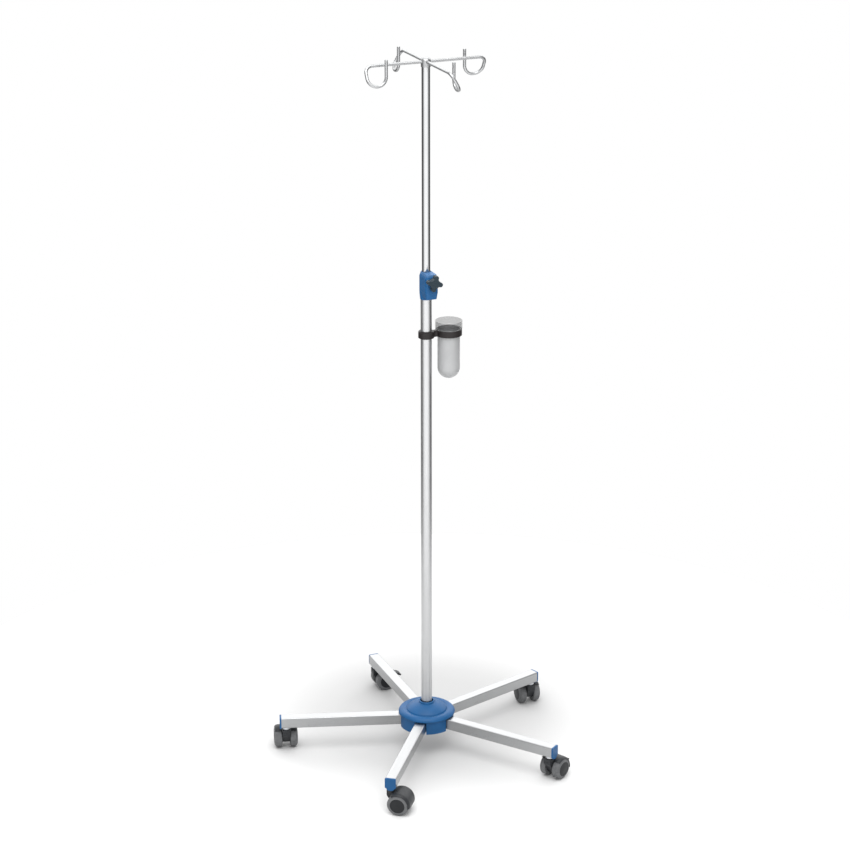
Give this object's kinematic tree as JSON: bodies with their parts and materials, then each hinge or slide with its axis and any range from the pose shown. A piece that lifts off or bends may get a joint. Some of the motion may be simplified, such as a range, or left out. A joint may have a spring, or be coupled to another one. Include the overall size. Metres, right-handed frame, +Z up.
{
  "type": "infusion stand",
  "caption": "Tall rolling infusion stand: star base on twin-wheel casters, telescopic mast with screw clamp, hook head, and a clear cup held in a swivelling ring.",
  "frame": {"origin": "on the floor under the mast's axis", "axes": "+Z up along the mast, +X towards the cup at rest, -Y towards the clamp knob"},
  "size_m": [0.6823, 0.6726, 1.643],
  "materials": {
    "leg_metal": "satin",
    "satin_steel": "satin",
    "bright_steel": "polished",
    "zinc_steel": "satin",
    "blue_plastic": "semi-gloss",
    "black_plastic": "matt",
    "caster_plastic": "matt",
    "wheel_plastic": "matt",
    "tread": "matt",
    "nylon": "satin",
    "frosted_plastic": "frosted"
  },
  "bodies": {
    "stand": {"hub_core": "zinc_steel", "hub_cover": "blue_plastic", "mast_bolt": "zinc_steel", "mast_plug": "zinc_steel", "leg_1": "leg_metal", "leg_2": "leg_metal", "leg_3": "leg_metal", "leg_4": "leg_metal", "leg_5": "leg_metal", "leg_end_caps": "blue_plastic", "caster_stems": "zinc_steel", "lower_tube": "satin_steel", "clamp_body": "blue_plastic", "clamp_bush": "nylon", "clamp_nut": "zinc_steel"},
    "mast_slider": {"tube_slider": "nylon"},
    "upper_mast": {"upper_tube": "bright_steel", "hook_head": "bright_steel", "hook_1": "bright_steel", "hook_2": "bright_steel", "hook_3": "bright_steel", "hook_4": "bright_steel"},
    "pad": {"clamp_pad": "nylon"},
    "knob": {"clamp_screw": "zinc_steel", "clamp_knob": "black_plastic"},
    "liner": {"bracket_liner": "black_plastic"},
    "bracket": {"cup_bracket": "black_plastic"},
    "cup": {"cup": "frosted_plastic"},
    "caster_1": {"caster_housing_1": "caster_plastic", "caster_axle_1": "zinc_steel"},
    "caster_1_left_wheel": {"wheel_1_left": "wheel_plastic", "tyre_1_left": "tread"},
    "caster_1_right_wheel": {"wheel_1_right": "wheel_plastic", "tyre_1_right": "tread"},
    "caster_2": {"caster_housing_2": "caster_plastic", "caster_axle_2": "zinc_steel"},
    "caster_2_left_wheel": {"wheel_2_left": "wheel_plastic", "tyre_2_left": "tread"},
    "caster_2_right_wheel": {"wheel_2_right": "wheel_plastic", "tyre_2_right": "tread"},
    "pedal_2": {"brake_pedal_2": "caster_plastic"},
    "caster_3": {"caster_housing_3": "caster_plastic", "caster_axle_3": "zinc_steel"},
    "caster_3_left_wheel": {"wheel_3_left": "wheel_plastic", "tyre_3_left": "tread"},
    "caster_3_right_wheel": {"wheel_3_right": "wheel_plastic", "tyre_3_right": "tread"},
    "caster_4": {"caster_housing_4": "caster_plastic", "caster_axle_4": "zinc_steel"},
    "caster_4_left_wheel": {"wheel_4_left": "wheel_plastic", "tyre_4_left": "tread"},
    "caster_4_right_wheel": {"wheel_4_right": "wheel_plastic", "tyre_4_right": "tread"},
    "pedal_4": {"brake_pedal_4": "caster_plastic"},
    "caster_5": {"caster_housing_5": "caster_plastic", "caster_axle_5": "zinc_steel"},
    "caster_5_left_wheel": {"wheel_5_left": "wheel_plastic", "tyre_5_left": "tread"},
    "caster_5_right_wheel": {"wheel_5_right": "wheel_plastic", "tyre_5_right": "tread"}
  },
  "joints": [
    {"name": "mast_slide", "type": "slide", "parent": "stand", "child": "mast_slider", "axis": [0, 0, 1], "range_m": [-0.4, 0.4]},
    {"name": "mast_turn", "type": "hinge", "parent": "mast_slider", "child": "upper_mast", "pos_m": [0, 0, 1.4], "axis": [0, 0, 1], "continuous": true},
    {"name": "clamp_pad_slide", "type": "slide", "parent": "stand", "child": "pad", "axis": [0, -1, 0], "range_m": [0, 0.0025]},
    {"name": "clamp_knob_turn", "type": "hinge", "parent": "pad", "child": "knob", "pos_m": [0, -0.04, 1.145], "axis": [0, -1, 0], "range_deg": [0, 720]},
    {"name": "bracket_slide", "type": "slide", "parent": "stand", "child": "liner", "axis": [0, 0, 1], "range_m": [-0.3, 0.045]},
    {"name": "bracket_swivel", "type": "hinge", "parent": "liner", "child": "bracket", "pos_m": [0, 0, 1.015], "axis": [0, 0, 1], "range_deg": [-20, 200]},
    {"name": "cup_lift", "type": "slide", "parent": "bracket", "child": "cup", "axis": [0, 0, 1], "range_m": [0, 0.125]},
    {"name": "caster_1_swivel", "type": "hinge", "parent": "stand", "child": "caster_1", "pos_m": [-0.19397, -0.26698, 0.045], "axis": [0, 0, 1], "continuous": true},
    {"name": "wheel_1_left_roll", "type": "hinge", "parent": "caster_1", "child": "caster_1_left_wheel", "pos_m": [-0.17821, -0.27929, 0.025], "axis": [0.6157, 0.788, 0], "continuous": true},
    {"name": "wheel_1_right_roll", "type": "hinge", "parent": "caster_1", "child": "caster_1_right_wheel", "pos_m": [-0.17821, -0.27929, 0.025], "axis": [0.6157, 0.788, 0], "continuous": true},
    {"name": "caster_2_swivel", "type": "hinge", "parent": "stand", "child": "caster_2", "pos_m": [0.19397, -0.26698, 0.045], "axis": [0, 0, 1], "continuous": true},
    {"name": "wheel_2_left_roll", "type": "hinge", "parent": "caster_2", "child": "caster_2_left_wheel", "pos_m": [0.21163, -0.25759, 0.025], "axis": [-0.4695, 0.8829, 0], "continuous": true},
    {"name": "wheel_2_right_roll", "type": "hinge", "parent": "caster_2", "child": "caster_2_right_wheel", "pos_m": [0.21163, -0.25759, 0.025], "axis": [-0.4695, 0.8829, 0], "continuous": true},
    {"name": "brake_pedal_2_press", "type": "hinge", "parent": "caster_2", "child": "pedal_2", "pos_m": [0.2384, -0.24335, 0.03145], "axis": [-0.4695, 0.8829, 0], "range_deg": [0, 18]},
    {"name": "caster_3_swivel", "type": "hinge", "parent": "stand", "child": "caster_3", "pos_m": [0.31385, 0.10198, 0.045], "axis": [0, 0, 1], "continuous": true},
    {"name": "wheel_3_left_roll", "type": "hinge", "parent": "caster_3", "child": "caster_3_left_wheel", "pos_m": [0.31455, 0.12196, 0.025], "axis": [-0.9994, 0.0349, 0], "continuous": true},
    {"name": "wheel_3_right_roll", "type": "hinge", "parent": "caster_3", "child": "caster_3_right_wheel", "pos_m": [0.31455, 0.12196, 0.025], "axis": [-0.9994, 0.0349, 0], "continuous": true},
    {"name": "caster_4_swivel", "type": "hinge", "parent": "stand", "child": "caster_4", "pos_m": [0, 0.33, 0.045], "axis": [0, 0, 1], "continuous": true},
    {"name": "wheel_4_left_roll", "type": "hinge", "parent": "caster_4", "child": "caster_4_left_wheel", "pos_m": [0.02, 0.32965, 0.025], "axis": [0.0175, 0.9998, 0], "continuous": true},
    {"name": "wheel_4_right_roll", "type": "hinge", "parent": "caster_4", "child": "caster_4_right_wheel", "pos_m": [0.02, 0.32965, 0.025], "axis": [0.0175, 0.9998, 0], "continuous": true},
    {"name": "brake_pedal_4_press", "type": "hinge", "parent": "caster_4", "child": "pedal_4", "pos_m": [0.05031, 0.32912, 0.03145], "axis": [0.0175, 0.9998, 0], "range_deg": [0, 18]},
    {"name": "caster_5_swivel", "type": "hinge", "parent": "stand", "child": "caster_5", "pos_m": [-0.31385, 0.10198, 0.045], "axis": [0, 0, 1], "continuous": true},
    {"name": "wheel_5_left_roll", "type": "hinge", "parent": "caster_5", "child": "caster_5_left_wheel", "pos_m": [-0.30867, 0.12129, 0.025], "axis": [-0.9659, 0.2588, 0], "continuous": true},
    {"name": "wheel_5_right_roll", "type": "hinge", "parent": "caster_5", "child": "caster_5_right_wheel", "pos_m": [-0.30867, 0.12129, 0.025], "axis": [-0.9659, 0.2588, 0], "continuous": true}
  ],
  "couplings": [
    {"joint": "clamp_knob_turn", "follows": "clamp_pad_slide", "rad_per_m": 5026.6}
  ]
}
